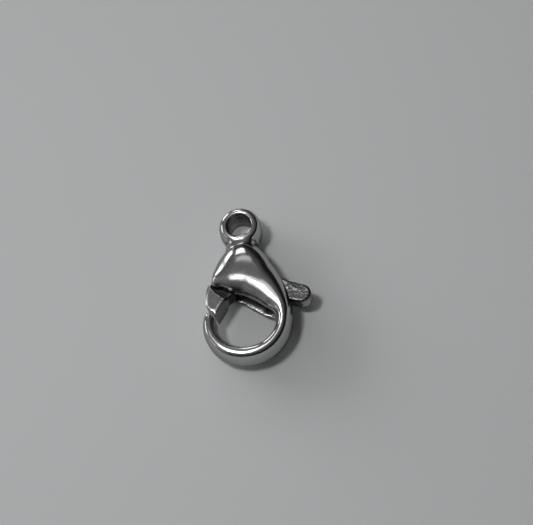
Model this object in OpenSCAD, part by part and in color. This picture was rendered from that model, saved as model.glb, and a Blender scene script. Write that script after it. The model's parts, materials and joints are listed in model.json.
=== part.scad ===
// Lobster clasp of cast stainless steel: a body with an eyelet and a hook, a trigger that closes the
// hook, and the pin that the trigger turns on.
// Millimetres. The origin is the middle of the eyelet's bore. +Y runs from the hook to the eyelet,
// +X to the lever's side, and +Z through the thickness to the front.

/* [Eyelet] */
// Outer diameter of the eyelet
eyelet_od = 3.04; // [2.9:0.02:3.2]
// Diameter of the eyelet's bore
eyelet_bore = 1.68; // [1.4:0.02:1.8]
// Height of the eyelet, front to back
eyelet_h = 2.05; // [1.8:0.05:2.3]
// How far the middle of the eyelet's side stands out beyond its ends
eyelet_bulge = 0.05; // [0.02:0.01:0.1]

/* [Neck] */
// Width of the neck between eyelet and head
neck_w = 2.25; // [2.0:0.05:2.4]
// Thickness of the neck
neck_t = 1.7; // [1.4:0.05:1.9]

/* [Hook] */
// Length from the top of the eyelet to the bottom of the hook
clasp_len = 12; // [11.5:0.1:13]
// Width inside the hook
eye_w = 4.26; // [4.1:0.02:4.5]
// Distance from the eyelet's centre line across to the hook's
eye_x = 0.12; // [0:0.02:0.3]
// Width of the bar at the side of the hook
side_w = 1.1; // [1.0:0.01:1.3]
// Width of the bar at the bottom of the hook
bottom_w = 1.04; // [0.9:0.01:1.15]
// Width of the hook's tip
tip_w = 0.89; // [0.8:0.01:1.0]
// Thickness of the bar, front to back
bar_t = 2.1; // [1.9:0.05:2.4]

/* [Head] */
// Greatest thickness of the head, front to back, before its back is ground
head_t = 3.2; // [2.9:0.05:3.5]
// Distance from the head's lower lip to its crest
lip_roll = 1.5; // [1.3:0.05:1.6]
// Depth that is ground off the back, for the clasp to lie flat
back_ground = 0.16; // [0.08:0.02:0.2]
// Width of the slot between the two cheeks
slot_w = 1.28; // [1.1:0.02:1.4]

/* [Trigger] */
// Gap between the trigger and each cheek
side_gap = 0.07; // [0.04:0.01:0.1]
// Place of the pivot, across from the middle of the hook
pivot_x = -0.48; // [-0.54:0.02:-0.4]
// Distance from the middle of the hook up to the pivot
pivot_rise = 3.61; // [3.55:0.01:3.7]
// Diameter of the trigger's hub
hub_d = 1.95; // [1.8:0.05:2.05]
// Radius of the gate's shoulder about the pivot
shoulder_r = 2.05; // [2.0:0.01:2.1]
// Width of the gate at its end
gate_end_w = 0.93; // [0.87:0.02:1.01]
// Thickness of the gate, front to back
gate_t = 1.8; // [1.6:0.02:1.9]
// Gap between the gate's end and the hook's tip
tip_gap = 0.14; // [0.1:0.02:0.24]
// Angle that the trigger turns through
swing = 24; // [18:1:25]
// Length of the lever beyond the side of the hook
lever_l = 1.48; // [1.3:0.02:1.6]
// Width of the lever where it leaves the head
lever_w = 1.5; // [1.4:0.05:1.6]
// Radius of the lever's rounded end
lever_r = 0.68; // [0.6:0.02:0.7]
// Distance from the pivot down to the lever where it leaves the head
lever_drop = 1.65; // [1.5:0.05:1.8]
// How much lower the lever's end is
lever_sag = 0.3; // [0.1:0.05:0.4]

/* [Pin] */
// Diameter of the pin
pin_d = 0.9; // [0.8:0.02:1.0]
// Gap around the pin in the trigger's hub
hub_gap = 0.05; // [0.03:0.01:0.08]
// Gap around the pin in the cheeks
cheek_gap = 0.01; // [0.01:0.01:0.02]
// Metal left in front of the pin's blind hole
pin_cover = 0.25; // [0.15:0.05:0.35]
// Gap between the pin's front end and the bottom of its hole
end_gap = 0.03; // [0.02:0.01:0.05]
// Depth of the pin's end below the ground back
pin_sink = 0.03; // [0.02:0.01:0.05]

/* [Hidden] */

// Facets of an exact circle
ROUND = 64;
// Points round one section of the body, and sections between two rows of its table
RING_POINTS = 22;
ROW_STEPS = 3;
// Reach of a cut that has to pass right through, and of one that ends outside the body
THROUGH = 20;
OUTSIDE = 1.5;
// Pieces of an arc
ARC_STEPS = 8;

// Inside of the hook is nearly a circle about EYE, and is nearer at the bottom by this share
eye_r = eye_w / 2;
EYE_FALL = 0.95;
EYE = [eye_x, eyelet_od / 2 - clasp_len + bottom_w + EYE_FALL * eye_r];
side_x = EYE.x + eye_r + side_w;
PIVOT = EYE + [pivot_x, pivot_rise];
trigger_t = slot_w - 2 * side_gap;
wall = (eyelet_od - eyelet_bore) / 2;

// Neck runs up into the eyelet's wall and down into the head, whose top it covers. Both lengths
// count from the outside of the eyelet.
neck_down = 0.6;
head_up = 0.2;
neck_top = -eyelet_od / 2 + 0.8 * wall;
neck_bottom = -eyelet_od / 2 - neck_down;
NECK_SQUARENESS = 2.3;
head_reach = -eyelet_od / 2 + head_up - EYE.y;

// Bottom of the pin's blind hole, and the ground back
hole_front = head_t / 2 - pin_cover;
back_z = -head_t / 2 + back_ground;

// Points on circles, arcs, and the tangents between them. The radius of an arc may change on the way.
function about(c, r, a) = c + r * [cos(a), sin(a)];
function angle_at(c, p) = atan2(p.y - c.y, p.x - c.x);
function arc(c, r, from, to, r_to) = [
    for (i = [0 : ARC_STEPS])
    let (share = i / ARC_STEPS)
    about(c, r + (r_to - r) * share, from + (to - from) * share)
];
// Angle at which a line from p touches a circle about c, with the circle's middle to its left (1)
// or right (-1)
function touch_angle(c, r, p, side) = angle_at(c, p) + side * acos(r / norm(p - c));
function touch(c, r, p, side) = about(c, r, touch_angle(c, r, p, side));
// Point past b on the line from a, outside the body
function past(a, b) = b + OUTSIDE * (b - a) / norm(b - a);

// Shoulder of the gate runs between two angles about the pivot, and the gate's end between two
// angles about EYE. The web that carries the gate ends inside it.
SHOULDER_FROM = 203.5;
SHOULDER_TO = 247;
GATE_END_OUT = 153;
GATE_END_IN = 167;
WEB_END = 141;
gate_in = 0.995 * eye_r;
gate_out = gate_in + gate_end_w;
GATE_OUTER = about(PIVOT, shoulder_r, SHOULDER_FROM);
GATE_INNER = about(PIVOT, shoulder_r, SHOULDER_TO);
GATE_END_OUTER = about(EYE, gate_out, GATE_END_OUT);
GATE_END_INNER = about(EYE, gate_in, GATE_END_IN);

// Middle of the lever's rounded end, and the corners where the lever leaves the head
LEVER_ROOT_TOP = [side_x, PIVOT.y - lever_drop + lever_w / 2];
LEVER_ROOT_BOTTOM = [side_x, PIVOT.y - lever_drop - lever_w / 2];
LEVER_END = [side_x + lever_l - lever_r, PIVOT.y - lever_drop - lever_sag];

// Slot's room around the hub and the shoulder, the angle that it leaves past the trigger's travel,
// its height above the hook's tip, its rise above EYE, and its fall from there to the outside
slot_room = 0.13;
slot_r = hub_d / 2 + slot_room;
SLOT_SPARE = 3;
above_tip = 0.1;
slot_rise = 0.28;
SLOT_CORNER = EYE + [0.8 * eye_r, slot_rise];
slot_fall = 0.35;

// Bar of the hook, from its tip round the bottom to the side. Columns: angle about EYE, inner
// radius as a share of the eye's radius, width, its share of the bar's thickness, place of the
// crest across the width, and squareness of the section.
BAR = [
    [160.5, 1.175, 0.10 * tip_w, 0.25, 0.50, 2.2],
    [161.2, 1.100, 0.48 * tip_w, 0.50, 0.50, 2.2],
    [162.5, 1.050, 0.76 * tip_w, 0.70, 0.50, 2.3],
    [165.0, 1.012, 0.95 * tip_w, 0.84, 0.50, 2.4],
    [169.0, 1.000, 1.00 * tip_w, 0.90, 0.50, 2.5],
    [192.0, 0.985, 1.09 * tip_w, 0.96, 0.50, 2.5],
    [225.0, 0.950, 1.03 * bottom_w, 1.00, 0.50, 2.5],
    [270.0, EYE_FALL, 1.00 * bottom_w, 1.00, 0.50, 2.5],
    [310.0, 0.985, 1.01 * bottom_w, 1.00, 0.50, 2.4],
    [340.0, 1.000, 0.99 * side_w, 1.00, 0.50, 2.3],
    [356.0, 1.000, 1.03 * side_w, 1.02, 0.50, 2.3],
];

// Head, from the side of the hook over the neck to the end of its lower lip. Columns: angle about
// EYE, inner radius as a share of the eye's radius, outer radius as a share of the head's reach,
// share of the head's thickness, crest's distance from the lip as a share of lip_roll, squareness.
HEAD = [
    [  8, 0.930, 0.557, 0.72, 0.46, 2.3],
    [ 20, 0.815, 0.579, 0.80, 0.66, 2.2],
    [ 33, 0.725, 0.618, 0.88, 0.80, 2.2],
    [ 45, 0.705, 0.665, 0.95, 0.90, 2.1],
    [ 54, 0.705, 0.718, 0.98, 0.96, 2.1],
    [ 62, 0.710, 0.776, 1.00, 0.98, 2.0],
    [ 68, 0.720, 0.835, 1.00, 1.00, 2.0],
    [ 74, 0.735, 0.903, 1.00, 1.00, 2.0],
    [ 81, 0.760, 0.968, 1.00, 1.00, 2.0],
    [ 88, 0.790, 0.995, 0.99, 1.00, 2.0],
    [ 95, 0.835, 0.982, 0.98, 0.98, 2.0],
    [101, 0.885, 0.948, 0.96, 0.93, 2.0],
    [108, 0.965, 0.876, 0.92, 0.86, 2.0],
    [116, 1.150, 0.774, 0.84, 0.76, 2.1],
    [121, 1.335, 0.710, 0.76, 0.58, 2.2],
    [126, 1.460, 0.645, 0.64, 0.40, 2.2],
    [128.5, 1.530, 0.602, 0.42, 0.18, 2.2],
    [129.2, 1.555, 0.583, 0.18, 0.07, 2.2],
];

// Neck, from inside the head up into the eyelet. Columns: share of the way, shares of the neck's
// width and thickness.
NECK = [
    [0.00, 1.00, 1.14],
    [0.18, 1.06, 1.14],
    [0.36, 0.99, 1.06],
    [0.52, 0.93, 1.02],
    [0.72, 0.87, 1.00],
    [1.00, 0.80, 1.00],
];

// One row as [angle, inner radius, outer radius, half thickness, crest from inner, squareness]
function bar_row(r) = [
    r[0], r[1] * eye_r, r[1] * eye_r + r[2], r[3] * bar_t / 2, r[4] * r[2], r[5]
];
function head_row(r) = [
    r[0] + 360, r[1] * eye_r, r[2] * head_reach, r[3] * head_t / 2, r[4] * lip_roll, r[5]
];
ROWS = concat([for (r = BAR) bar_row(r)], [for (r = HEAD) head_row(r)]);

// Smooth curve through the rows of a table whose first column rises
function slope(t, i) =
    let (a = max(i - 1, 0), b = min(i + 1, len(t) - 1))
    (t[b] - t[a]) / (t[b][0] - t[a][0]);
function between(t, i, u) =
    let (h = t[i + 1][0] - t[i][0])
    (2 * u * u * u - 3 * u * u + 1) * t[i] + (u * u * u - 2 * u * u + u) * h * slope(t, i)
    + (3 * u * u - 2 * u * u * u) * t[i + 1] + (u * u * u - u * u) * h * slope(t, i + 1);
function smooth(t, steps) = concat(
    [for (i = [0 : len(t) - 2]) for (s = [0 : steps - 1]) between(t, i, s / steps)],
    [t[len(t) - 1]]
);

// Part of a rounded section: the sine or cosine, made squarer than a circle's by the power
function squared(v, power) = sign(v) * pow(abs(v), 2 / power);

// One ring of points across the body, along a ray from EYE
function body_ring(r) = [
    for (k = [0 : RING_POINTS - 1])
    let (
        turn = 360 * (k + 0.5) / RING_POINTS,
        across = squared(cos(turn), r[5]),
        side = across > 0 ? r[2] - r[1] - r[4] : r[4],
        radius = r[1] + r[4] + across * side
    )
    [EYE.x + radius * cos(r[0]), EYE.y + radius * sin(r[0]), r[3] * squared(sin(turn), r[5])]
];

// One ring of points across the neck, at a share of its length
function neck_ring(r) = [
    for (k = [0 : RING_POINTS - 1])
    let (turn = 360 * (k + 0.5) / RING_POINTS)
    [
        neck_w / 2 * r[1] * squared(cos(turn), NECK_SQUARENESS),
        neck_bottom + (neck_top - neck_bottom) * r[0],
        neck_t / 2 * r[2] * squared(sin(turn), NECK_SQUARENESS)
    ]
];

// Closed skin over rings of RING_POINTS points each
module skin(rings) {
    n = RING_POINTS;
    last = len(rings) - 1;
    polyhedron(
        points = [for (ring = rings) for (p = ring) p],
        faces = concat(
            [[for (k = [n - 1 : -1 : 0]) k]],
            [
                for (i = [0 : last - 1]) for (k = [0 : n - 1])
                let (m = (k + 1) % n)
                for (f = [[i * n + k, i * n + m, (i + 1) * n + m],
                          [i * n + k, (i + 1) * n + m, (i + 1) * n + k]]) f
            ],
            [[for (k = [0 : n - 1]) last * n + k]]
        )
    );
}

module eyelet() {
    end_wall = wall - eyelet_bulge;
    rotate_extrude($fn = ROUND)
        hull() {
            translate([(eyelet_bore + wall) / 2, 0]) circle(d = wall, $fn = 32);
            for (side = [-1, 1])
                translate([(eyelet_bore + end_wall) / 2, side * (eyelet_h - end_wall) / 2])
                    circle(d = end_wall, $fn = 32);
        }
}

// Slot between the cheeks, open to the eye, to the gate's side and to the lever's side
module slot_outline() {
    gate_side = about(PIVOT, shoulder_r + slot_room, SHOULDER_FROM - SLOT_SPARE);
    lever_side = about(
        PIVOT, norm(LEVER_ROOT_TOP - PIVOT), angle_at(PIVOT, LEVER_ROOT_TOP) + swing + SLOT_SPARE
    );
    hub_left = touch(PIVOT, slot_r, gate_side, -1);
    hub_right = touch(PIVOT, slot_r, lever_side, 1);
    tip = about(EYE, BAR[0][1] * eye_r, BAR[0][0]);
    translate(PIVOT) circle(r = slot_r, $fn = ROUND);
    polygon([
        PIVOT, hub_left, gate_side, past(hub_left, gate_side),
        [tip.x - OUTSIDE, tip.y + above_tip], [tip.x + OUTSIDE, tip.y + above_tip],
        EYE, SLOT_CORNER, [side_x + OUTSIDE, SLOT_CORNER.y - slot_fall],
        past(hub_right, lever_side), lever_side, hub_right
    ]);
}

// What is cut off the hook's tip, for the gate's end to close on it
module tip_seat() {
    translate(GATE_END_INNER)
        rotate(angle_at(GATE_END_INNER, GATE_END_OUTER))
            translate([-OUTSIDE, tip_gap - OUTSIDE / 2])
                square([2 * OUTSIDE, OUTSIDE / 2]);
}

// Flat of the gate, from its shoulder to its end
module gate_outline() {
    polygon(concat(
        arc(PIVOT, shoulder_r, SHOULDER_FROM, SHOULDER_TO, shoulder_r),
        [GATE_END_INNER],
        arc(EYE, gate_out, GATE_END_OUT, angle_at(EYE, GATE_OUTER), norm(GATE_OUTER - EYE))
    ));
}

// Flat of the thin web that carries gate and lever about the pin
module web_outline() {
    hub_r = hub_d / 2;
    translate(PIVOT) circle(r = hub_r, $fn = ROUND);
    polygon([
        touch(PIVOT, hub_r, GATE_OUTER, -1), GATE_OUTER,
        about(EYE, (gate_in + gate_out) / 2, WEB_END),
        GATE_INNER, touch(PIVOT, hub_r, GATE_INNER, 1)
    ]);
    polygon(concat(
        [touch(PIVOT, hub_r, LEVER_ROOT_TOP, 1), LEVER_ROOT_TOP],
        arc(
            LEVER_END, lever_r, touch_angle(LEVER_END, lever_r, LEVER_ROOT_TOP, -1),
            touch_angle(LEVER_END, lever_r, LEVER_ROOT_BOTTOM, 1), lever_r
        ),
        [LEVER_ROOT_BOTTOM, touch(PIVOT, hub_r, LEVER_ROOT_BOTTOM, -1)]
    ));
}

module body() {
    color("silver")
    difference() {
        union() {
            skin([for (r = smooth(ROWS, ROW_STEPS)) body_ring(r)]);
            skin([for (r = smooth(NECK, ROW_STEPS)) neck_ring(r)]);
            eyelet();
        }
        linear_extrude(slot_w, center = true) slot_outline();
        translate([PIVOT.x, PIVOT.y, -THROUGH])
            cylinder(d = pin_d + 2 * cheek_gap, h = THROUGH + hole_front, $fn = ROUND);
        translate([-THROUGH / 2, -THROUGH, back_z - THROUGH]) cube(THROUGH);
        linear_extrude(THROUGH, center = true) tip_seat();
    }
}

module trigger() {
    color("gray")
    difference() {
        union() {
            linear_extrude(trigger_t, center = true) web_outline();
            linear_extrude(gate_t, center = true) gate_outline();
        }
        translate([PIVOT.x, PIVOT.y, 0])
            cylinder(d = pin_d + 2 * hub_gap, h = THROUGH, center = true, $fn = ROUND);
    }
}

module pin() {
    color("darkgray")
    translate([PIVOT.x, PIVOT.y, back_z + pin_sink])
        cylinder(d = pin_d, h = hole_front - end_gap - back_z - pin_sink, $fn = ROUND);
}

body();
trigger();
pin();
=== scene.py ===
"""Looks of a cast steel lobster clasp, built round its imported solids.

A piece is made in millimetres, and is brought to metres when it is finished. Its frame is the solids':
the origin in the middle of the eyelet's bore, +Y from the hook to the eyelet, +X to the lever's side,
+Z to the front.
"""
import json
import math

import bmesh
import bpy
import numpy as np
from mathutils import Matrix, Vector


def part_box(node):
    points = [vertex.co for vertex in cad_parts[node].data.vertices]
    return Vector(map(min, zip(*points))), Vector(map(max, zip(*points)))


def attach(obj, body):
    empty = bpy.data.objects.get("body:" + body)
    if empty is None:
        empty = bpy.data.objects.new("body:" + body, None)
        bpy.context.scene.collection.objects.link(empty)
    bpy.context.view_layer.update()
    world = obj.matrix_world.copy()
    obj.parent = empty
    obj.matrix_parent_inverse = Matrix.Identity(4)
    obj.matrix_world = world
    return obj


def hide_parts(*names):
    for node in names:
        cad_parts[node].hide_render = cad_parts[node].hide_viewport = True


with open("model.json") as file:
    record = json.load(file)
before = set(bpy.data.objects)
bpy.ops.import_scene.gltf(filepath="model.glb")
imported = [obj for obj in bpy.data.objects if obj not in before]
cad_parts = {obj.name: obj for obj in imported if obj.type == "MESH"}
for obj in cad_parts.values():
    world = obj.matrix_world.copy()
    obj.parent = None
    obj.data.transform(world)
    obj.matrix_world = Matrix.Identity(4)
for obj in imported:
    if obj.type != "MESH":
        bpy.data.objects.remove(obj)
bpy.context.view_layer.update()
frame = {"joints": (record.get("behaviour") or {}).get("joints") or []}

MM = 0.001

# Sizes of the casting, as in the part's source
EYELET_OD = 3.04
EYELET_BORE = 1.68
EYELET_H = 2.05
EYELET_BULGE = 0.05
WALL = (EYELET_OD - EYELET_BORE) / 2
NECK_W = 2.25
NECK_T = 1.7
NECK_SQUARENESS = 2.6
# Rounding of the eyelet's edges: small at the bore, and over most of the wall on its outside
BORE_ROUND = 0.19
RIM_ROUND = 0.45
# How much squarer the outside of the head's section is towards the neck, and how much less on its flanks
DOME_FULLNESS = 0.45
FLANK_LEANNESS = 0.25
# How much further the back cheek reaches into the eye than the front one
BACK_LIP = 0.2
# How much squarer the head's section is towards its lip
LIP_TIGHTNESS = 0.6
CLASP_LEN = 12.0
EYE_R = 4.26 / 2
EYE_X = 0.12
EYE_FALL = 0.95
SIDE_W = 1.1
BOTTOM_W = 1.04
TIP_W = 0.89
BAR_T = 2.1
HEAD_T = 3.2
LIP_ROLL = 1.5
SLOT_W = 1.28
PIN_COVER = 0.25

# Sizes of the trigger, as in the part's source
SIDE_GAP = 0.07
HUB_R = 1.95 / 2
SHOULDER_R = 2.05
GATE_END_W = 0.93
GATE_T = 1.8
TIP_GAP = 0.14
LEVER_L = 1.48
LEVER_W = 1.5
LEVER_R = 0.68
LEVER_DROP = 1.65
LEVER_SAG = 0.3
HUB_GAP = 0.05
CHEEK_GAP = 0.01
# How round the lever's edges are, as a share of the gate's inner ones
LEVER_SOFTNESS = 0.2
# Bevel along the gate's outer edges, across its face and down its side
BEVEL_ACROSS = 0.18
BEVEL_DOWN = 0.095

# Places: the middle of the hook's eye, the pivot, the pin and the ground back
EYE = np.array([EYE_X, EYELET_OD / 2 - CLASP_LEN + BOTTOM_W + EYE_FALL * EYE_R])
PIVOT = np.array(frame["joints"][0]["pos_m"][:2]) / MM
PIN_LOW, PIN_HIGH = (np.array(corner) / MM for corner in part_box("pin"))
PIN_R = (PIN_HIGH[0] - PIN_LOW[0]) / 2
BACK_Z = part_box("body")[0].z / MM
SIDE_X = EYE[0] + EYE_R + SIDE_W
NECK_TOP = -EYELET_OD / 2 + 0.8 * WALL
NECK_BOTTOM = -EYELET_OD / 2 - 0.6
HEAD_REACH = -EYELET_OD / 2 + 0.2 - EYE[1]

# Gate, lever and slot, as in the part's source. Only the shoulder's outer end, and the slot's mouth
# beside it, stand a little higher than there. Angles are in degrees.
SHOULDER_FROM = 197.0
SHOULDER_TO = 247.0
GATE_END_OUT = 153.0
GATE_END_IN = 167.0
WEB_END = 141.0
GATE_IN = 0.995 * EYE_R
GATE_OUT = GATE_IN + GATE_END_W
LEVER_ROOT_TOP = np.array([SIDE_X, PIVOT[1] - LEVER_DROP + LEVER_W / 2])
LEVER_ROOT_BOTTOM = np.array([SIDE_X, PIVOT[1] - LEVER_DROP - LEVER_W / 2])
LEVER_END = np.array([SIDE_X + LEVER_L - LEVER_R, PIVOT[1] - LEVER_DROP - LEVER_SAG])
SWING = 24.0
SLOT_ROOM = 0.13
SLOT_SPARE = 3.0
ABOVE_TIP = 0.1
SLOT_CORNER = EYE + [0.8 * EYE_R, 0.28]
SLOT_FALL = 0.35
OUTSIDE = 1.5

# Bar of the hook, from its tip round the bottom to the side. Columns: angle about EYE, inner radius
# as a share of the eye's, width, share of the bar's thickness, crest's place across, squareness.
BAR = [
    [160.5, 1.175, 0.10 * TIP_W, 0.25, 0.50, 2.2],
    [161.2, 1.100, 0.48 * TIP_W, 0.50, 0.50, 2.2],
    [162.5, 1.050, 0.76 * TIP_W, 0.70, 0.50, 2.3],
    [165.0, 1.012, 0.95 * TIP_W, 0.84, 0.50, 2.4],
    [169.0, 1.000, 1.00 * TIP_W, 0.90, 0.50, 2.5],
    [192.0, 0.985, 1.09 * TIP_W, 0.96, 0.50, 2.5],
    [225.0, 0.950, 1.03 * BOTTOM_W, 0.96, 0.50, 2.6],
    [270.0, EYE_FALL, 1.00 * BOTTOM_W, 0.94, 0.50, 2.7],
    [310.0, 0.985, 1.01 * BOTTOM_W, 0.98, 0.50, 2.3],
    [340.0, 1.000, 0.99 * SIDE_W, 1.06, 0.50, 2.1],
    [356.0, 1.000, 1.03 * SIDE_W, 1.14, 0.50, 2.1],
]

# Head, from the side of the hook over the neck to the end of its lower lip. Columns: angle about EYE,
# inner radius as a share of the eye's, outer radius as a share of the head's reach, share of the
# head's thickness, crest's distance from the lip as a share of LIP_ROLL, squareness.
HEAD = [
    [  8, 0.930, 0.557, 0.79, 0.46, 2.1],
    [ 20, 0.815, 0.579, 0.84, 0.66, 2.1],
    [ 33, 0.730, 0.618, 0.895, 0.79, 2.1],
    [ 45, 0.705, 0.665, 0.945, 0.89, 2.1],
    [ 54, 0.705, 0.718, 0.975, 0.95, 2.1],
    [ 62, 0.710, 0.776, 0.995, 0.98, 2.0],
    [ 68, 0.720, 0.835, 1.00, 1.00, 2.0],
    [ 74, 0.735, 0.903, 1.00, 1.00, 2.0],
    [ 81, 0.760, 0.985, 1.00, 1.00, 2.0],
    [ 88, 0.790, 1.035, 0.99, 1.00, 2.0],
    [ 95, 0.835, 1.010, 0.98, 0.98, 2.0],
    [101, 0.885, 0.955, 0.96, 0.93, 2.0],
    [108, 0.965, 0.888, 0.92, 0.86, 2.0],
    [116, 1.150, 0.788, 0.84, 0.76, 2.1],
    [121, 1.335, 0.720, 0.77, 0.58, 2.2],
    [126, 1.460, 0.645, 0.64, 0.40, 2.2],
    [128.5, 1.530, 0.602, 0.42, 0.18, 2.2],
    [129.2, 1.555, 0.583, 0.18, 0.07, 2.2],
]

# Neck, from inside the head up into the eyelet. Columns: share of the way, shares of the neck's width
# and thickness.
NECK = [
    [0.00, 1.00, 1.14],
    [0.18, 1.06, 1.17],
    [0.36, 1.02, 1.18],
    [0.52, 0.98, 1.18],
    [0.72, 0.94, 1.17],
    [1.00, 0.88, 1.12],
]

# Fineness of the meshes: points round a section, rings between two rows, steps round a pin or a hole,
# round the eyelet and its section, and in a corner of that section, and the voxels that round off the
# castings' edges
RING_POINTS = 96
ROW_STEPS = 12
ROUND_STEPS = 96
EYELET_STEPS = 160
CORNER_STEPS = 10
CAST_VOXEL = 0.048
TRIGGER_VOXEL = 0.036
# Rounds of smoothing: at the body's neck and tip, all over the body, on the trigger's soft edges, all
# over the trigger, and after its bevel
SOFT_ROUNDS = 16
BODY_ROUNDS = 4
EDGE_ROUNDS = 60
TRIGGER_ROUNDS = 5
BEVEL_ROUNDS = 1
# Depth of a hollow that counts as full, rounds that find the hollows and soften the end of the polish,
# and how far off its surface a point is tested for the slot
HOLLOW_REACH = 0.03
HOLLOW_ROUNDS = 12
POLISH_ROUNDS = 3
SLOT_PROBE = 0.08
# Dullness of the eyelet's bore and of the gate's inner wall, beside the slot's, which is 1. The same share
# darkens their colour as painted shade.
BORE_DULLNESS_AND_SHADE = 0.6
WALL_DULLNESS_AND_SHADE = 0.5
# Bevel round each end of the pin, and how many times finer the lever's grain is than its lumps
PIN_BEVEL = 0.05
GRAIN_FINENESS = 3.1


# Points, arcs and tangents in the plane

def about(c, r, angle):
    """Point at a distance and an angle from c."""
    return np.array(c) + r * np.array([math.cos(math.radians(angle)), math.sin(math.radians(angle))])


def angle_at(c, p):
    """Angle at which p is seen from c."""
    return math.degrees(math.atan2(p[1] - c[1], p[0] - c[0]))


def arc(c, r, start, end, r_end=None, steps=24):
    """Points round c. The radius may change on the way."""
    r_end = r if r_end is None else r_end
    shares = np.linspace(0, 1, steps + 1)
    return [about(c, r + (r_end - r) * s, start + (end - start) * s) for s in shares]


def touch_angle(c, r, p, side):
    """Angle at which a line from p touches a circle, whose middle is to the line's left (1) or right (-1)."""
    return angle_at(c, p) + side * math.degrees(math.acos(r / np.linalg.norm(p - c)))


def touch(c, r, p, side):
    """Point where that line touches the circle."""
    return about(c, r, touch_angle(c, r, p, side))


def past(a, b):
    """Point on the line from a through b that is outside the body."""
    return b + OUTSIDE * (b - a) / np.linalg.norm(b - a)


def ease(low, high, x):
    """Smooth step from 0 at low to 1 at high."""
    share = np.clip((x - low) / (high - low), 0, 1)
    return share * share * (3 - 2 * share)


# Meshes and objects

def new_object(name, mesh):
    """Object in the scene with a mesh, a light or a camera as its data."""
    made = bpy.data.objects.new(name, mesh)
    bpy.context.scene.collection.objects.link(made)
    return made


def mesh_of(name, points, faces):
    """Closed mesh with its faces turned outwards."""
    mesh = bpy.data.meshes.new(name)
    mesh.from_pydata([tuple(p) for p in points], [], faces)
    work = bmesh.new()
    work.from_mesh(mesh)
    bmesh.ops.recalc_face_normals(work, faces=work.faces)
    work.to_mesh(mesh)
    work.free()
    return mesh


def settle(piece):
    """Turns the piece's modifiers into plain mesh."""
    seen = piece.evaluated_get(bpy.context.evaluated_depsgraph_get())
    mesh = bpy.data.meshes.new_from_object(seen)
    piece.modifiers.clear()
    old, piece.data = piece.data, mesh
    bpy.data.meshes.remove(old)
    return piece


def fuse(name, shells):
    """One object of several closed shells, which are removed."""
    work = bmesh.new()
    for shell in shells:
        work.from_mesh(shell.data)
        bpy.data.objects.remove(shell)
    mesh = bpy.data.meshes.new(name)
    work.to_mesh(mesh)
    work.free()
    return new_object(name, mesh)


def cut(piece, tool):
    """Cuts a tool's volume out of a piece, and removes the tool."""
    step = piece.modifiers.new("cut", "BOOLEAN")
    step.operation = "DIFFERENCE"
    step.solver = "EXACT"
    step.object = tool
    settle(piece)
    bpy.data.objects.remove(tool)


def remesh(piece, voxel):
    """Rounds off edges and fuses overlapping shells."""
    step = piece.modifiers.new("remesh", "REMESH")
    step.mode = "VOXEL"
    step.voxel_size = voxel
    step.adaptivity = 0
    return settle(piece)


def skin(name, rings):
    """Closed mesh over rings of equally many points each."""
    count, around = rings.shape[:2]
    faces = [tuple(range(around)), tuple(range((count - 1) * around, count * around))]
    for i in range(count - 1):
        for k in range(around):
            m = (k + 1) % around
            faces.append((i * around + k, i * around + m, (i + 1) * around + m, (i + 1) * around + k))
    return new_object(name, mesh_of(name, rings.reshape(-1, 3), faces))


def plate(name, outline, low, high):
    """Closed plate with a flat outline, between two heights."""
    n = len(outline)
    points = [(x, y, z) for z in (low, high) for x, y in outline]
    faces = [tuple(range(n)), tuple(range(n, 2 * n))]
    faces += [(k, (k + 1) % n, n + (k + 1) % n, n + k) for k in range(n)]
    return new_object(name, mesh_of(name, points, faces))


def rod(name, c, r, low, high):
    """Closed round bar between two heights."""
    return plate(name, arc(c, r, 0, 360, steps=ROUND_STEPS)[:-1], low, high)


def coordinates(mesh):
    """Places of the mesh's points."""
    flat = np.zeros(len(mesh.vertices) * 3)
    mesh.vertices.foreach_get("co", flat)
    return flat.reshape(-1, 3)


def neighbour_mean(mesh, co):
    """Mean place of each point's neighbours."""
    ends = np.zeros(len(mesh.edges) * 2, int)
    mesh.edges.foreach_get("vertices", ends)
    a, b = ends[::2], ends[1::2]
    n = len(co)
    count = np.bincount(a, minlength=n) + np.bincount(b, minlength=n)
    total = [np.bincount(a, co[b, i], n) + np.bincount(b, co[a, i], n) for i in range(co.shape[1])]
    return np.stack(total, 1) / np.maximum(count, 1)[:, None]


def relax(mesh, rounds, weight=None):
    """Moves each point towards its neighbours, as far as its weight says."""
    co = coordinates(mesh)
    share = 0.5 if weight is None else 0.5 * weight(co)[:, None]
    for _ in range(rounds):
        co += share * (neighbour_mean(mesh, co) - co)
    mesh.vertices.foreach_set("co", co.ravel())
    mesh.update()


def normals(mesh):
    """Outward directions at the mesh's points."""
    flat = np.zeros(len(mesh.vertices) * 3)
    mesh.vertex_normals.foreach_get("vector", flat)
    return flat.reshape(-1, 3)


def store(mesh, name, values):
    """Keeps a value for each point, as a named attribute."""
    made = mesh.attributes.new(name, "FLOAT", "POINT")
    made.data.foreach_set("value", values.astype(np.float32))


def mark_hollows(mesh):
    """Stores how hollow (1) or proud (-1) the surface is at each point, as the attribute hollow."""
    co = coordinates(mesh)
    wide = co.copy()
    for _ in range(HOLLOW_ROUNDS):
        wide = neighbour_mean(mesh, wide)
    depth = ((wide - co) * normals(mesh)).sum(1) / HOLLOW_REACH
    store(mesh, "hollow", np.clip(depth, -1, 1))


def inside(outline, points):
    """Whether each point is inside an outline in the plane."""
    found = np.zeros(len(points), bool)
    for a, b in zip(outline, outline[1:] + outline[:1]):
        if a[1] != b[1]:
            crosses = (a[1] > points[:, 1]) != (b[1] > points[:, 1])
            x = a[0] + (points[:, 1] - a[1]) * (b[0] - a[0]) / (b[1] - a[1])
            found ^= crosses & (points[:, 0] < x)
    return found


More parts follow.
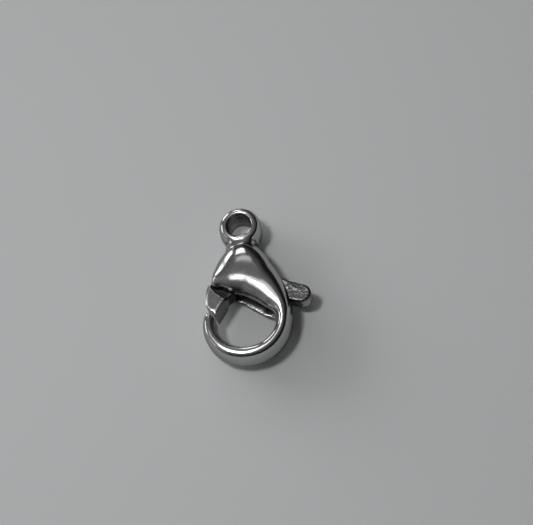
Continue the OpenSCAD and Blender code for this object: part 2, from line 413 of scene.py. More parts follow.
def mark_unpolished_shade(mesh, facing):
    """Stores 1 where the polish didn't reach, with soft ends, as an attribute. It makes those places rougher,
    and also darkens them as painted shade.
    """
    share = facing(coordinates(mesh), normals(mesh)).astype(float)[:, None]
    for _ in range(POLISH_ROUNDS):
        share = neighbour_mean(mesh, share)
    store(mesh, "unpolished_shade", share[:, 0])


# Sections of the casting

def through(rows, steps):
    """Rows of a table, joined by a smooth curve with so many steps between two of them."""
    rows = np.array(rows, float)
    last = len(rows) - 1
    before = np.maximum(np.arange(last + 1) - 1, 0)
    after = np.minimum(np.arange(last + 1) + 1, last)
    slope = (rows[after] - rows[before]) / (rows[after, 0] - rows[before, 0])[:, None]
    made = []
    for i in range(last):
        run = rows[i + 1, 0] - rows[i, 0]
        for u in np.arange(steps) / steps:
            rest = (2 * u ** 3 - 3 * u ** 2 + 1) * rows[i] + (3 * u ** 2 - 2 * u ** 3) * rows[i + 1]
            lean = (u ** 3 - 2 * u ** 2 + u) * slope[i] + (u ** 3 - u ** 2) * slope[i + 1]
            made.append(rest + run * lean)
    made.append(rows[last])
    return np.array(made)


def rounded(squareness, outer):
    """Cosines and sines round a section, squarer than a circle's. The outer half has its own squareness."""
    turn = 2 * np.pi * (np.arange(RING_POINTS) + 0.5) / RING_POINTS
    c, s = np.cos(turn), np.sin(turn)
    power = 2 / np.where(c > 0, outer, squareness)
    return np.sign(c) * np.abs(c) ** power, np.sign(s) * np.abs(s) ** power


def fullness(angle):
    """How much squarer the outside of the head's section is than its lip, by the angle about EYE."""
    dome = ease(55, 82, angle) * (1 - ease(98, 114, angle))
    return DOME_FULLNESS * dome - FLANK_LEANNESS * ease(8, 30, angle) * (1 - dome)


def lip_tightness(angle):
    """How much squarer the head's section is towards its lip, by the angle about EYE."""
    return LIP_TIGHTNESS * ease(6, 32, angle) * (1 - ease(66, 96, angle))


def back_lip(angle):
    """How much further the back cheek's lip reaches into the eye, by the angle about EYE."""
    return BACK_LIP * ease(10, 40, angle) * (1 - ease(84, 104, angle))


def body_ring(row):
    """Ring across the hook or the head, along a ray from EYE."""
    angle, inner, outer, half, crest, squareness, outer_squareness, longer = row
    across, up = rounded(squareness, outer_squareness)
    lip = crest + longer * ease(0, 0.4, -up)
    radius = inner + crest + across * np.where(across > 0, outer - inner - crest, lip)
    turn = math.radians(angle)
    return np.stack([EYE[0] + radius * math.cos(turn), EYE[1] + radius * math.sin(turn), half * up], 1)


def neck_ring(row):
    """Ring across the neck."""
    share, width, thickness = row
    across, up = rounded(NECK_SQUARENESS, NECK_SQUARENESS)
    y = np.full(RING_POINTS, NECK_BOTTOM + (NECK_TOP - NECK_BOTTOM) * share)
    return np.stack([NECK_W / 2 * width * across, y, NECK_T / 2 * thickness * up], 1)


def body_rows():
    """Rows of the hook and the head in millimetres, from the tip round to the end of the lip."""
    bar = [[a, i * EYE_R, i * EYE_R + w, t * BAR_T / 2, c * w, q, q, 0] for a, i, w, t, c, q in BAR]
    head = [
        [a + 360, i * EYE_R, o * HEAD_REACH, t * HEAD_T / 2, c * LIP_ROLL,
         q + lip_tightness(a), q + fullness(a), back_lip(a)]
        for a, i, o, t, c, q in HEAD
    ]
    return through(bar + head, ROW_STEPS)


# Geometry Nodes

def add_node(tree, kind, inputs=None, **settings):
    """Adds a node. Its inputs, by name or number, take a socket or a constant."""
    node = tree.nodes.new(kind)
    for name, value in settings.items():
        setattr(node, name, value)
    for key, value in (inputs or {}).items():
        if isinstance(value, bpy.types.NodeSocket):
            tree.links.new(value, node.inputs[key])
        else:
            node.inputs[key].default_value = value
    return node


def geometry_tree(name, sizes, with_mesh):
    """Geometry Nodes tree with named inputs, its input node, and the sockets' identifiers by name."""
    tree = bpy.data.node_groups.new(name, "GeometryNodeTree")
    if with_mesh:
        tree.interface.new_socket("Geometry", in_out="INPUT", socket_type="NodeSocketGeometry")
    tree.interface.new_socket("Geometry", in_out="OUTPUT", socket_type="NodeSocketGeometry")
    found = {}
    for size, kind in sizes.items():
        found[size] = tree.interface.new_socket(size, in_out="INPUT", socket_type=kind).identifier
    return tree, tree.nodes.new("NodeGroupInput"), found


def end_tree(tree, geometry, material):
    """Realizes instances, sets the material, and ends the tree."""
    real = add_node(tree, "GeometryNodeRealizeInstances", {"Geometry": geometry})
    dressed = add_node(tree, "GeometryNodeSetMaterial", {"Geometry": real.outputs[0], "Material": material})
    add_node(tree, "NodeGroupOutput", {"Geometry": dressed.outputs[0]})


def run_tree(piece, tree, found, sizes):
    """Runs a tree on a piece with the given sizes, and turns the result into plain mesh."""
    step = piece.modifiers.new(tree.name, "NODES")
    step.node_group = tree
    for size, value in sizes.items():
        step[found[size]] = value
    return settle(piece)


def maths(tree, operation, *values):
    """Result of a Math node on values that are sockets or constants."""
    return add_node(tree, "ShaderNodeMath", dict(enumerate(values)), operation=operation).outputs[0]


def turned_section(tree, section, start):
    """Section of the ring with its outer corners rounded wide and its outer side bulged."""
    place = add_node(tree, "GeometryNodeInputPosition")
    parts = add_node(tree, "ShaderNodeSeparateXYZ", {0: place.outputs[0]})
    x, y = parts.outputs["X"], parts.outputs["Y"]
    half_height = maths(tree, "MULTIPLY", start.outputs["Height"], 0.5)
    half_wall = maths(tree, "MULTIPLY", start.outputs["Wall"], 0.5)
    rim = start.outputs["Rim rounding"]
    short = maths(tree, "SUBTRACT", half_wall, rim)
    past_crest = maths(tree, "SUBTRACT", x, short)
    reach = maths(tree, "MINIMUM", maths(tree, "MAXIMUM", past_crest, 0.0), rim)
    rest = maths(tree, "SUBTRACT", maths(tree, "MULTIPLY", rim, rim), maths(tree, "MULTIPLY", reach, reach))
    fall = maths(tree, "SUBTRACT", rim, maths(tree, "SQRT", maths(tree, "MAXIMUM", rest, 0.0)))
    up = maths(tree, "DIVIDE", y, half_height)
    lower = maths(tree, "MULTIPLY", maths(tree, "MULTIPLY", fall, up), -1.0)
    middle = maths(tree, "SUBTRACT", 1.0, maths(tree, "MULTIPLY", up, up))
    share = maths(tree, "DIVIDE", reach, rim)
    wider = maths(tree, "MULTIPLY", maths(tree, "MULTIPLY", share, middle), start.outputs["Bulge"])
    shift = add_node(tree, "ShaderNodeCombineXYZ", {"X": wider, "Y": lower})
    return add_node(
        tree, "GeometryNodeSetPosition", {"Geometry": section, "Offset": shift.outputs[0]},
    ).outputs[0]


def ring_tree(material):
    """Ring swept round a circle, with a small rounding at its bore and a wide one on its outside."""
    sizes = {
        "Middle radius": "NodeSocketFloat", "Wall": "NodeSocketFloat", "Height": "NodeSocketFloat",
        "Bulge": "NodeSocketFloat", "Bore rounding": "NodeSocketFloat", "Rim rounding": "NodeSocketFloat",
        "Steps round": "NodeSocketInt", "Steps in a corner": "NodeSocketInt",
        "Steps in a section": "NodeSocketInt",
    }
    tree, start, found = geometry_tree("ring", sizes, with_mesh=False)
    section = add_node(
        tree, "GeometryNodeCurvePrimitiveQuadrilateral",
        {"Width": start.outputs["Wall"], "Height": start.outputs["Height"]},
    )
    rounded_section = add_node(
        tree, "GeometryNodeFilletCurve",
        {"Curve": section.outputs[0], "Radius": start.outputs["Bore rounding"],
         "Count": start.outputs["Steps in a corner"]},
        mode="POLY",
    )
    circle = add_node(
        tree, "GeometryNodeCurvePrimitiveCircle",
        {"Radius": start.outputs["Middle radius"], "Resolution": start.outputs["Steps round"]},
    )
    fine = add_node(
        tree, "GeometryNodeResampleCurve",
        {"Curve": rounded_section.outputs[0], "Count": start.outputs["Steps in a section"]},
    )
    swept = add_node(
        tree, "GeometryNodeCurveToMesh",
        {"Curve": circle.outputs[0], "Profile Curve": turned_section(tree, fine.outputs[0], start)},
    )
    end_tree(tree, swept.outputs[0], material)
    return tree, found


def lump_tree(material):
    """Lumps of a rough casting, where the attribute rough says, along the surface's normal."""
    sizes = {
        "Lump height": "NodeSocketFloat", "Lump size": "NodeSocketFloat",
        "Grain height": "NodeSocketFloat", "Seed": "NodeSocketFloat",
    }
    tree, start, found = geometry_tree("cast lumps", sizes, with_mesh=True)
    place = add_node(tree, "GeometryNodeInputPosition")
    normal = add_node(tree, "GeometryNodeInputNormal")
    rough = add_node(tree, "GeometryNodeInputNamedAttribute", {"Name": "rough"}, data_type="FLOAT")
    scale = maths(tree, "DIVIDE", 1.0, start.outputs["Lump size"])
    lumps = add_node(
        tree, "ShaderNodeTexNoise",
        {"Vector": place.outputs[0], "W": start.outputs["Seed"], "Scale": scale, "Detail": 2.0},
        noise_dimensions="4D",
    )
    fine = maths(tree, "MULTIPLY", scale, GRAIN_FINENESS)
    pits = add_node(
        tree, "ShaderNodeTexNoise",
        {"Vector": place.outputs[0], "W": start.outputs["Seed"], "Scale": fine, "Detail": 1.0},
        noise_dimensions="4D",
    )
    heights = [
        maths(tree, "MULTIPLY", maths(tree, "SUBTRACT", noise.outputs[0], 0.5), start.outputs[height])
        for noise, height in ((lumps, "Lump height"), (pits, "Grain height"))
    ]
    masked = maths(tree, "MULTIPLY", joined(tree, heights), rough.outputs[0])
    shift = add_node(
        tree, "ShaderNodeVectorMath", {0: normal.outputs[0], "Scale": masked}, operation="SCALE",
    )
    moved = add_node(
        tree, "GeometryNodeSetPosition", {"Geometry": start.outputs["Geometry"], "Offset": shift.outputs[0]},
    )
    end_tree(tree, moved.outputs[0], material)
    return tree, found


# Materials

# How much of a grazing reflection the steel keeps
STEEL_EDGE = 0.45


def new_material(name):
    """New metal, with its node tree and its shader."""
    made = bpy.data.materials.new(name)
    made.use_nodes = True
    shader = made.node_tree.nodes["Principled BSDF"]
    shader.inputs["Metallic"].default_value = 1.0
    shader.inputs["Specular Tint"].default_value = (*[STEEL_EDGE] * 3, 1)
    return made, made.node_tree, shader


def spread(tree, value, low, high, to_low, to_high):
    """Maps a value from one range to another, within it."""
    return add_node(
        tree, "ShaderNodeMapRange", {0: value, 1: low, 2: high, 3: to_low, 4: to_high}, clamp=True,
    ).outputs[0]


def grain(tree, size, detail=2.0, stretch=(1, 1, 1), turn=(0, 0, 0)):
    """Noise with features of a size in metres, on the piece's own coordinates."""
    place = add_node(tree, "ShaderNodeTexCoord")
    turned = add_node(
        tree, "ShaderNodeMapping", {0: place.outputs["Object"], "Rotation": turn, "Scale": stretch},
    )
    return add_node(
        tree, "ShaderNodeTexNoise", {"Vector": turned.outputs[0], "Scale": 1 / size, "Detail": detail},
    ).outputs[0]


def hairlines(tree, length, thickness, turn, share):
    """Fine scratches of a length and thickness, in one direction. They cover a share of the surface."""
    noise = grain(tree, length, 2.0, (1, length / thickness, length / thickness), turn)
    return spread(tree, noise, 1 - share, 1 - share * 0.6, 0, 1)


def joined(tree, values):
    """Sum of several values."""
    total = values[0]
    for value in values[1:]:
        total = maths(tree, "ADD", total, value)
    return total


def bumps(tree, layers):
    """Normal with several layers, each a height between 0 and 1 and its depth in metres."""
    normal = None
    for height, depth in layers:
        inputs = {"Height": height, "Distance": depth, "Strength": 1.0}
        if normal:
            inputs["Normal"] = normal
        normal = add_node(tree, "ShaderNodeBump", inputs).outputs[0]
    return normal


def mixed(tree, share, a, b):
    """Colour between a and b."""
    return add_node(
        tree, "ShaderNodeMix", {"Factor": share, 6: a, 7: b}, data_type="RGBA", clamp_factor=True,
    ).outputs[2]


def stored(tree, name):
    """Value that the mesh stores at each point."""
    return add_node(tree, "ShaderNodeAttribute", attribute_name=name).outputs["Fac"]


def dress(tree, shader, colour, dull, normal):
    """Gives the shader its colour, its roughness and its normal."""
    tree.links.new(colour, shader.inputs["Base Color"])
    tree.links.new(dull, shader.inputs["Roughness"])
    tree.links.new(normal, shader.inputs["Normal"])


def polished_steel():
    """Tumbled casting: a mirror with soft waves and hairlines, dull in its hollows and as cast in its slot
    and its bore, and painted darker in all of these as shade.
    """
    made, tree, shader = new_material("polished_steel")
    hollow = stored(tree, "hollow")
    deep = spread(tree, hollow, 0.06, 0.4, 0, 1)
    cloud = grain(tree, 0.0009, 3.0)
    tone = mixed(tree, cloud, (0.47, 0.472, 0.472, 1), (0.55, 0.552, 0.552, 1))
    edge = spread(tree, hollow, -0.25, -0.04, 1, 0)
    patches = spread(tree, grain(tree, 0.0002, 1.0), 0.42, 0.6, 0.05, 0.5)
    rubbed = maths(tree, "MULTIPLY", edge, patches)
    # Where the polish didn't reach, less on rubbed edges: rougher and tool-marked, and painted dark as shade
    # in the slot and the bore.
    raw_and_shaded = maths(tree, "MULTIPLY", stored(tree, "unpolished_shade"), maths(tree, "SUBTRACT", 1.0, rubbed))
    # Painted shade: the hollows are painted darker.
    hollow_shade = mixed(tree, deep, tone, (0.12, 0.12, 0.12, 1))
    tool_marks = grain(tree, 0.0005, 2.0, (0.4, 0.4, 2.4))
    streaks = spread(tree, tool_marks, 0.42, 0.58, 0, 1)
    # Tool marks in streaks, painted near black as shade.
    marks_and_shade = mixed(tree, streaks, (0.03, 0.03, 0.03, 1), (0.24, 0.24, 0.24, 1))
    colour = mixed(tree, raw_and_shaded, hollow_shade, marks_and_shade)
    lines = joined(tree, [
        hairlines(tree, 0.0016, 0.000018, (0.2, 0.4, turn), 0.34) for turn in (0.3, 1.2, 2.3)
    ])
    dull = joined(tree, [
        spread(tree, grain(tree, 0.00035, 4.0), 0.35, 0.7, 0.12, 0.18),
        spread(tree, lines, 0, 1, 0, 0.05),
        spread(tree, deep, 0, 1, 0, 0.25),
        spread(tree, raw_and_shaded, 0, 1, 0, 0.22),
    ])
    normal = bumps(tree, [
        (grain(tree, 0.0011, 1.0), 0.000012),
        (grain(tree, 0.00022, 2.0), 0.0000007),
        (lines, 0.00000025),
        (maths(tree, "MULTIPLY", raw_and_shaded, tool_marks), 0.00003),
    ])
    dress(tree, shader, colour, dull, normal)
    return made


def satin_steel():
    """Face of the gate: brushed along it, with bright tumbled edges. Its web, hub, inner wall and hollows are
    painted dark as shade.
    """
    made, tree, shader = new_material("satin_steel")
    hollow = stored(tree, "hollow")
    edge = spread(tree, hollow, -0.6, -0.12, 1, 0)
    deep = spread(tree, hollow, 0.12, 0.6, 0, 1)
    brushed = grain(tree, 0.0009, 3.0, (6, 60, 6), (0, 0, 0.45))
    cloud = grain(tree, 0.0005, 3.0)
    tone = mixed(tree, brushed, (0.26, 0.261, 0.26, 1), (0.56, 0.561, 0.56, 1))
    bright = mixed(tree, edge, tone, (0.55, 0.552, 0.552, 1))
    raw_and_shaded = stored(tree, "unpolished_shade")
    # Painted shade: the web, the hub, the gate's inner wall and the hollows are painted near black.
    colour = mixed(tree, joined(tree, [raw_and_shaded, deep]), bright, (0.05, 0.05, 0.05, 1))
    dull = joined(tree, [
        spread(tree, brushed, 0.3, 0.7, 0.12, 0.17),
        spread(tree, edge, 0, 1, 0, 0.15),
        spread(tree, raw_and_shaded, 0, 1, 0, 0.05),
    ])
    normal = bumps(tree, [(cloud, 0.000004), (brushed, 0.000001)])
    dress(tree, shader, colour, dull, normal)
    return made


def as_cast_steel():
    """Lever: the casting's own skin, bright on its lumps and grey between them, with tumbled sides; its
    hollows are painted darker as shade, and its rim near black as a dark reflection.
    """
    made, tree, shader = new_material("as_cast_steel")
    hollow = stored(tree, "hollow")
    deep = spread(tree, hollow, 0.02, 0.4, 0, 1)
    cloud = grain(tree, 0.0002, 4.0)
    skin_tone = mixed(tree, cloud, (0.07, 0.07, 0.07, 1), (0.25, 0.251, 0.25, 1))
    tone = mixed(tree, stored(tree, "rough"), (0.5, 0.502, 0.5, 1), skin_tone)
    # Painted shade: the hollows are painted darker.
    hollow_shade = mixed(tree, deep, tone, (0.10, 0.10, 0.10, 1))
    # Painted dark reflection: the lever's proud edges, round its rim, are painted near black.
    edge = spread(tree, hollow, -0.45, -0.14, 1, 0)
    colour = mixed(tree, edge, hollow_shade, (0.06, 0.06, 0.06, 1))
    dull = joined(tree, [
        spread(tree, cloud, 0.3, 0.7, 0.24, 0.32),
        spread(tree, deep, 0, 1, 0, 0.2),
    ])
    normal = bumps(tree, [(cloud, 0.000006), (grain(tree, 0.00006, 3.0), 0.0000015)])
    dress(tree, shader, colour, dull, normal)
    return made


def ground_steel():
    """End of the pin: ground across, with fine parallel lines."""
    made, tree, shader = new_material("ground_steel")
    lines = grain(tree, 0.0006, 3.0, (1, 40, 40), (0, 0, 0.7))
    tone = mixed(tree, lines, (0.42, 0.42, 0.418, 1), (0.60, 0.60, 0.598, 1))
    dull = spread(tree, lines, 0.3, 0.7, 0.2, 0.34)
    dress(tree, shader, tone, dull, bumps(tree, [(lines, 0.0000015)]))
    return made


# Pieces

def slot_outline():
    """Slot between the cheeks, open to the eye, to the gate's side and to the lever's side."""
    slot_r = HUB_R + SLOT_ROOM
    gate_side = about(PIVOT, SHOULDER_R + SLOT_ROOM, SHOULDER_FROM - SLOT_SPARE)
    lever_side = about(
        PIVOT, np.linalg.norm(LEVER_ROOT_TOP - PIVOT),
        angle_at(PIVOT, LEVER_ROOT_TOP) + SWING + SLOT_SPARE,
    )
    hub_left = touch_angle(PIVOT, slot_r, gate_side, -1)
    hub_right = touch_angle(PIVOT, slot_r, lever_side, 1)
    tip = about(EYE, BAR[0][1] * EYE_R, BAR[0][0])
    return [
        *arc(PIVOT, slot_r, hub_right, hub_left),
        gate_side, past(about(PIVOT, slot_r, hub_left), gate_side),
        tip + [-OUTSIDE, ABOVE_TIP], tip + [OUTSIDE, ABOVE_TIP],
        EYE, SLOT_CORNER, (SIDE_X + OUTSIDE, SLOT_CORNER[1] - SLOT_FALL),
        past(about(PIVOT, slot_r, hub_right), lever_side), lever_side,
    ]


def gate_ends():
    """Corners of the gate: its shoulder's outer and inner one, and its end's outer and inner one."""
    return (
        about(PIVOT, SHOULDER_R, SHOULDER_FROM), about(PIVOT, SHOULDER_R, SHOULDER_TO),
        about(EYE, GATE_OUT, GATE_END_OUT), about(EYE, GATE_IN, GATE_END_IN),
    )


def tip_seat_outline():
    """What is cut off the hook's tip, for the gate's end to close on it."""
    _, _, outer, inner = gate_ends()
    along = (outer - inner) / np.linalg.norm(outer - inner)
    out = np.array([-along[1], along[0]])
    near = inner + (TIP_GAP - OUTSIDE / 2) * out
    far = inner + TIP_GAP * out
    return [near - OUTSIDE * along, near + OUTSIDE * along, far + OUTSIDE * along, far - OUTSIDE * along]


def make_eyelet(material):
    """Eyelet by itself, before it is fused to the neck."""
    tree, found = ring_tree(material)
    shell = new_object("eyelet", bpy.data.meshes.new("eyelet"))
    end_wall = WALL - EYELET_BULGE
    return run_tree(shell, tree, found, {
        "Middle radius": (EYELET_BORE + end_wall) / 2, "Wall": end_wall, "Height": EYELET_H,
        "Bulge": EYELET_BULGE, "Bore rounding": BORE_ROUND, "Rim rounding": RIM_ROUND,
        "Steps round": EYELET_STEPS, "Steps in a corner": CORNER_STEPS, "Steps in a section": EYELET_STEPS,
    })


def near_the_neck(co):
    """1 where the neck meets the eyelet and the head, and 0 away from there and in the bore."""
    from_axis = np.hypot(co[:, 0], co[:, 1])
    high = 1 - ease(NECK_TOP - 0.15, NECK_TOP + 0.5, co[:, 1])
    low = ease(NECK_BOTTOM - 0.4, NECK_BOTTOM + 0.1, co[:, 1])
    return high * low * ease(EYELET_BORE / 2 + 0.2, EYELET_BORE / 2 + 0.5, from_axis)


def near_the_tip(co):
    """1 at the hook's tip, and 0 away from it."""
    tip = about(EYE, BAR[2][1] * EYE_R + TIP_W / 2, BAR[2][0])
    return 1 - ease(0.3, 0.7, np.linalg.norm(co[:, :2] - tip, axis=1))


def make_casting(material):
    """Body: hook, head with its slot, neck and eyelet, with tumbled edges."""
    body = skin("clasp_body", np.array([body_ring(row) for row in body_rows()]))
    cut(body, plate("slot", slot_outline(), -SLOT_W / 2, SLOT_W / 2))
    cut(body, plate("seat", tip_seat_outline(), -BAR_T, BAR_T))
    neck = skin("neck", np.array([neck_ring(row) for row in through(NECK, ROW_STEPS)]))
    body = remesh(fuse("clasp_body", [body, neck, make_eyelet(material)]), CAST_VOXEL)
    relax(body.data, SOFT_ROUNDS, near_the_neck)
    relax(body.data, SOFT_ROUNDS, near_the_tip)
    relax(body.data, BODY_ROUNDS)
    below = BACK_Z - HEAD_T
    footprint = [(-HEAD_T, -CLASP_LEN), (HEAD_T, -CLASP_LEN), (HEAD_T, 0), (-HEAD_T, 0)]
    cut(body, plate("ground off", footprint, below, BACK_Z))
    cut(body, rod("hole", PIVOT, PIN_R + CHEEK_GAP, below, HEAD_T / 2 - PIN_COVER))
    return body


def faces_slot(co, normal):
    """Dullness and painted shade of the body: 1 in the slot, and less in the eyelet's bore."""
    probe = co + SLOT_PROBE * normal
    slot = inside(slot_outline(), probe[:, :2]) & (np.abs(probe[:, 2]) < SLOT_W / 2)
    bore = np.hypot(probe[:, 0], probe[:, 1]) < EYELET_BORE / 2 - 0.05
    return np.maximum(slot, BORE_DULLNESS_AND_SHADE * (bore & (np.abs(probe[:, 2]) < EYELET_H / 2 - 0.12)))


def in_the_slot(co, normal):
    """Dullness and painted shade of the trigger: 1 on the web and the hub, which run between the cheeks, and
    less on the gate's inner wall.
    """
    web = np.abs(co[:, 2]) < SLOT_W / 2
    flat = np.abs(normal[:, 2]) > 0.5
    near = np.linalg.norm(co[:, :2] - PIVOT, axis=1) < SHOULDER_R - 0.12
    hidden = 1 - ease(SIDE_X - 1.3, SIDE_X - 0.5, co[:, 0])
    return np.maximum(web & (flat | near), WALL_DULLNESS_AND_SHADE * faces_eye(co, normal)) * hidden


def faces_eye(co, normal):
    """Whether each point is on the gate's inner wall."""
    to_eye = EYE - co[:, :2]
    straight = (normal[:, :2] * to_eye).sum(1) / np.linalg.norm(to_eye, axis=1)
    return (straight > 0.7) & (co[:, 0] < PIVOT[0])


def soft_edges(co):
    """1 at the lever, and at the gate's inner edges to front and back, and 0 elsewhere."""
    _, shoulder_in, _, end_in = gate_ends()
    along = (end_in - shoulder_in) / np.linalg.norm(end_in - shoulder_in)
    across = (co[:, :2] - end_in) @ np.array([-along[1], along[0]])
    gate = (1 - ease(0.25, 0.5, np.abs(across))) * ease(GATE_T / 4, GATE_T / 3, np.abs(co[:, 2]))
    gate *= 1 - ease(-0.2, 0.4, co[:, 0] - PIVOT[0])
    return np.maximum(gate, LEVER_SOFTNESS * ease(SIDE_X - 0.3, SIDE_X, co[:, 0]))


def bevel_gate(mesh):
    """Slopes the gate's faces down to its outer edges."""
    co = coordinates(mesh)
    shoulder_out = gate_ends()[0]
    angle = np.degrees(np.arctan2(co[:, 1] - EYE[1], co[:, 0] - EYE[0]))
    corner = angle_at(EYE, shoulder_out)
    share = np.clip((GATE_END_OUT - angle) / (GATE_END_OUT - corner), 0, 1)
    side = GATE_OUT + (np.linalg.norm(shoulder_out - EYE) - GATE_OUT) * share
    past_start = np.linalg.norm(co[:, :2] - EYE, axis=1) - (side - BEVEL_ACROSS)
    drop = BEVEL_DOWN * np.clip(past_start / BEVEL_ACROSS, 0, 1)
    highest = GATE_T / 2 - drop * (co[:, 0] < PIVOT[0] - 0.6)
    co[:, 2] = np.clip(co[:, 2], -highest, highest)
    mesh.vertices.foreach_set("co", co.ravel())
    mesh.update()


def make_trigger():
    """Gate, web and lever in one casting."""
    shoulder_out, shoulder_in, _, end_in = gate_ends()
    half = SLOT_W / 2 - SIDE_GAP
    gate = plate("gate", [
        *arc(PIVOT, SHOULDER_R, SHOULDER_FROM, SHOULDER_TO),
        end_in,
        *arc(EYE, GATE_OUT, GATE_END_OUT, angle_at(EYE, shoulder_out),
             np.linalg.norm(shoulder_out - EYE))[:-1],
    ], -GATE_T / 2, GATE_T / 2)
    web = plate("web", [
        PIVOT, touch(PIVOT, HUB_R, shoulder_out, -1), shoulder_out,
        about(EYE, (GATE_IN + GATE_OUT) / 2, WEB_END), shoulder_in,
        touch(PIVOT, HUB_R, shoulder_in, 1),
    ], -half, half)
    lever = plate("lever", [
        PIVOT, touch(PIVOT, HUB_R, LEVER_ROOT_TOP, 1), LEVER_ROOT_TOP,
        *arc(LEVER_END, LEVER_R, touch_angle(LEVER_END, LEVER_R, LEVER_ROOT_TOP, -1),
             touch_angle(LEVER_END, LEVER_R, LEVER_ROOT_BOTTOM, 1)),
        LEVER_ROOT_BOTTOM, touch(PIVOT, HUB_R, LEVER_ROOT_BOTTOM, -1),
    ], -half, half)
    hub = rod("hub", PIVOT, HUB_R, -half, half)
    trigger = remesh(fuse("clasp_trigger", [gate, web, lever, hub]), TRIGGER_VOXEL)
    relax(trigger.data, EDGE_ROUNDS, soft_edges)
    relax(trigger.data, TRIGGER_ROUNDS)
    bevel_gate(trigger.data)
    relax(trigger.data, BEVEL_ROUNDS)
    cut(trigger, rod("bore", PIVOT, PIN_R + HUB_GAP, -GATE_T, GATE_T))
    return trigger


def add_lumps(trigger, material):
    """Roughens the lever's two faces, and leaves its rim and the rest of the trigger smooth."""
    co = coordinates(trigger.data)
    out = ease(SIDE_X - 0.5, SIDE_X, co[:, 0])
    store(trigger.data, "rough", out * ease(0.45, 0.9, np.abs(normals(trigger.data)[:, 2])))
    tree, found = lump_tree(material)
    run_tree(trigger, tree, found, {
        "Lump height": 0.07, "Lump size": 0.26, "Grain height": 0.012, "Seed": 3.0,
    })


def make_pin():
    """Pin with a small bevel round each end."""
    rings = [
        (PIN_R - PIN_BEVEL, PIN_LOW[2]), (PIN_R, PIN_LOW[2] + PIN_BEVEL),
        (PIN_R, PIN_HIGH[2] - PIN_BEVEL), (PIN_R - PIN_BEVEL, PIN_HIGH[2]),
    ]
    points = [[(x, y, z) for x, y in arc(PIVOT, r, 0, 360, steps=ROUND_STEPS)[:-1]] for r, z in rings]
    return skin("clasp_pin", np.array(points))


def finish_piece(piece, body, node, materials, facing, pick=None):
    """Brings a piece to metres, gives it its materials, and says what it rides on and stands for."""
    mesh = piece.data
    mark_hollows(mesh)
    mark_unpolished_shade(mesh, facing)
    mesh.materials.clear()
    for material in materials:
        mesh.materials.append(material)
    if pick is not None:
        mesh.polygons.foreach_set("material_index", pick(mesh))
    mesh.transform(Matrix.Scale(MM, 4))
    mesh.shade_smooth()
    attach(piece, body)
    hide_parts(node)


def trigger_finish(mesh):
    """Index of each face's material: satin on the gate, the web and the hub, and as cast on the lever."""
    middle = np.zeros(len(mesh.polygons) * 3)
    mesh.polygons.foreach_get("center", middle)
    middle = middle.reshape(-1, 3)
    far = np.linalg.norm(middle[:, :2] - PIVOT, axis=1) > HUB_R + 0.15
    return (far & (middle[:, 0] > PIVOT[0])).astype(int)


def build_clasp():
    """The three pieces, finished and carried by the solids' bodies."""
    polished = polished_steel()
    as_cast = as_cast_steel()
    body = make_casting(polished)
    finish_piece(body, "body", "body", [polished], faces_slot)
    trigger = make_trigger()
    add_lumps(trigger, as_cast)
    finish_piece(trigger, "trigger", "trigger", [satin_steel(), as_cast], in_the_slot,
                 trigger_finish)
    finish_piece(make_pin(), "body", "pin", [ground_steel()], faces_slot)


# Studio

# Photograph's frame in pixels, and the middle of the eyelet in it
PHOTO_W = 533
PHOTO_H = 525
EYELET_PX = (241.0, 231.0)
# Scale at the eyelet in pixels for each metre, and the camera's distance and turns
PX_PER_M = 13960
CAMERA_DIST = 0.150
AZIMUTH = 15.2
ELEVATION = 61.0
ROLL = -20.0
SENSOR = 36.0
# Azimuth and elevation of the main light's cloth, which the steel reflects, and of its lamp, which lights
# the floor. Distances of the main light, of its cloth's outer part and of the room's windows, and half
# the floor's side.
KEY_WAY = (265.0, 77.3)
LAMP_WAY = (290.0, 74.5)
KEY_DIST = 0.14
CLOTH_DIST = 0.15
ROOM_DIST = 0.5
FLOOR_REACH = 0.5


def towards(azimuth, elevation):
    """Direction to something at an azimuth from the front, turning to the right, and an elevation."""
    a, e = math.radians(azimuth), math.radians(elevation)
    return Vector((math.sin(a) * math.cos(e), -math.cos(a) * math.cos(e), math.sin(e)))


def add_camera():
    """Camera at the photograph's angle, with the eyelet at its place in the frame."""
    back = towards(AZIMUTH, ELEVATION)
    level = Vector((math.cos(math.radians(AZIMUTH)), math.sin(math.radians(AZIMUTH)), 0))
    right = Matrix.Rotation(math.radians(ROLL), 3, back) @ level
    up = back.cross(right)
    across = (PHOTO_W / 2 - EYELET_PX[0]) / PX_PER_M
    above = (PHOTO_H / 2 - EYELET_PX[1]) / PX_PER_M
    place = across * right - above * up + CAMERA_DIST * back
    data = bpy.data.cameras.new("camera")
    data.sensor_width = SENSOR
    data.lens = PX_PER_M * CAMERA_DIST * SENSOR / PHOTO_W
    data.clip_start = 0.01
    camera = new_object("camera", data)
    turn = Matrix((right, up, back)).transposed().to_4x4()
    camera.matrix_world = Matrix.Translation(place) @ turn
    bpy.context.scene.camera = camera


def softbox(name, azimuth, elevation, distance, width, height, radiance, turn=0):
    """Area light that faces the clasp. Unturned, its height runs up from the floor, seen from the clasp."""
    data = bpy.data.lights.new(name, "AREA")
    data.shape = "RECTANGLE"
    data.size = width
    data.size_y = height
    data.energy = radiance * math.pi * width * height
    lamp = new_object(name, data)
    back = towards(azimuth, elevation)
    facing = back.to_track_quat("Z", "Y").to_matrix() @ Matrix.Rotation(math.radians(turn), 3, "Z")
    lamp.matrix_world = Matrix.Translation(back * distance) @ facing.to_4x4()
    return lamp


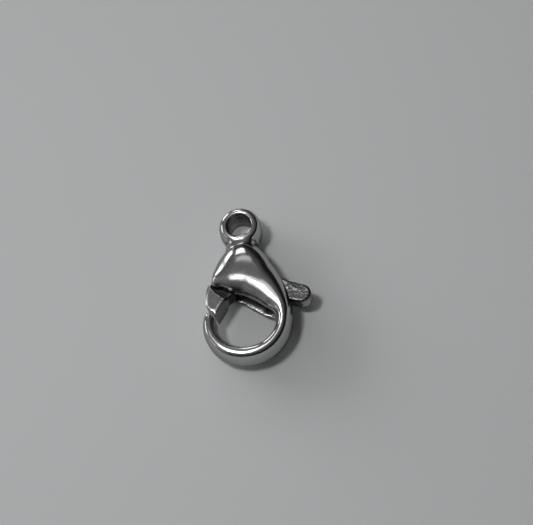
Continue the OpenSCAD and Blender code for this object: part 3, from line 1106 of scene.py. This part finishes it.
def add_floor():
    """Plain pale floor under the ground back."""
    ways = ((-1, -1), (1, -1), (1, 1), (-1, 1))
    corners = [(x * FLOOR_REACH, y * FLOOR_REACH, BACK_Z * MM) for x, y in ways]
    mesh = bpy.data.meshes.new("floor")
    mesh.from_pydata(corners, [], [(0, 1, 2, 3)])
    floor = new_object("floor", mesh)
    made, _, shader = new_material("pale_floor")
    shader.inputs["Metallic"].default_value = 0.0
    shader.inputs["Base Color"].default_value = (0.57, 0.58, 0.585, 1)
    shader.inputs["Roughness"].default_value = 0.8
    mesh.materials.append(made)


def add_world():
    """Dim room: grey round the main light and at the left, and nearly black low at the right."""
    world = bpy.data.worlds.new("room")
    world.use_nodes = True
    bpy.context.scene.world = world
    tree = world.node_tree
    ground = tree.nodes["Background"]
    way = add_node(tree, "ShaderNodeTexCoord")
    parts = add_node(tree, "ShaderNodeSeparateXYZ", {0: way.outputs["Generated"]})
    to_key = add_node(
        tree, "ShaderNodeVectorMath", {0: way.outputs["Generated"], 1: towards(*KEY_WAY)},
        operation="DOT_PRODUCT",
    ).outputs["Value"]
    ceiling = spread(tree, to_key, 0.3, 0.95, 0.012, 0.21)
    left = spread(tree, parts.outputs[0], -0.95, -0.6, 0.22, 0.0)
    tree.links.new(joined(tree, [ceiling, left]), ground.inputs["Strength"])
    ground.inputs["Color"].default_value = (1, 1, 1, 1)


def add_lights():
    """Main light in three parts, the windows and panels that the steel reflects, and a low fill."""
    across = KEY_WAY[0] - 270
    softbox("key", *KEY_WAY, KEY_DIST, 0.043, 0.033, 14.0, turn=across).visible_diffuse = False
    softbox("key_lamp", *LAMP_WAY, KEY_DIST, 0.023, 0.023, 40.0, turn=across).visible_glossy = False
    softbox("key_cloth", *KEY_WAY, CLOTH_DIST, 0.105, 0.090, 0.8, turn=across).visible_diffuse = False
    softbox("window_behind", 191.5, 25, ROOM_DIST, 0.105, 0.13, 4.0)
    softbox("panel_behind", 188, 45, ROOM_DIST, 0.16, 0.07, 0.7)
    softbox("window_left", 214, 10, ROOM_DIST, 0.14, 0.18, 4.0)
    softbox("far_window", 247, 22, ROOM_DIST, 0.20, 0.12, 2.8)
    softbox("front_window", 277, 28, ROOM_DIST, 0.16, 0.07, 1.2)
    softbox("low_light", 235, 15, ROOM_DIST, 0.30, 0.20, 5.0).visible_glossy = False


build_clasp()
add_floor()
add_world()
add_lights()
add_camera()
bpy.context.scene.view_settings.view_transform = "Standard"
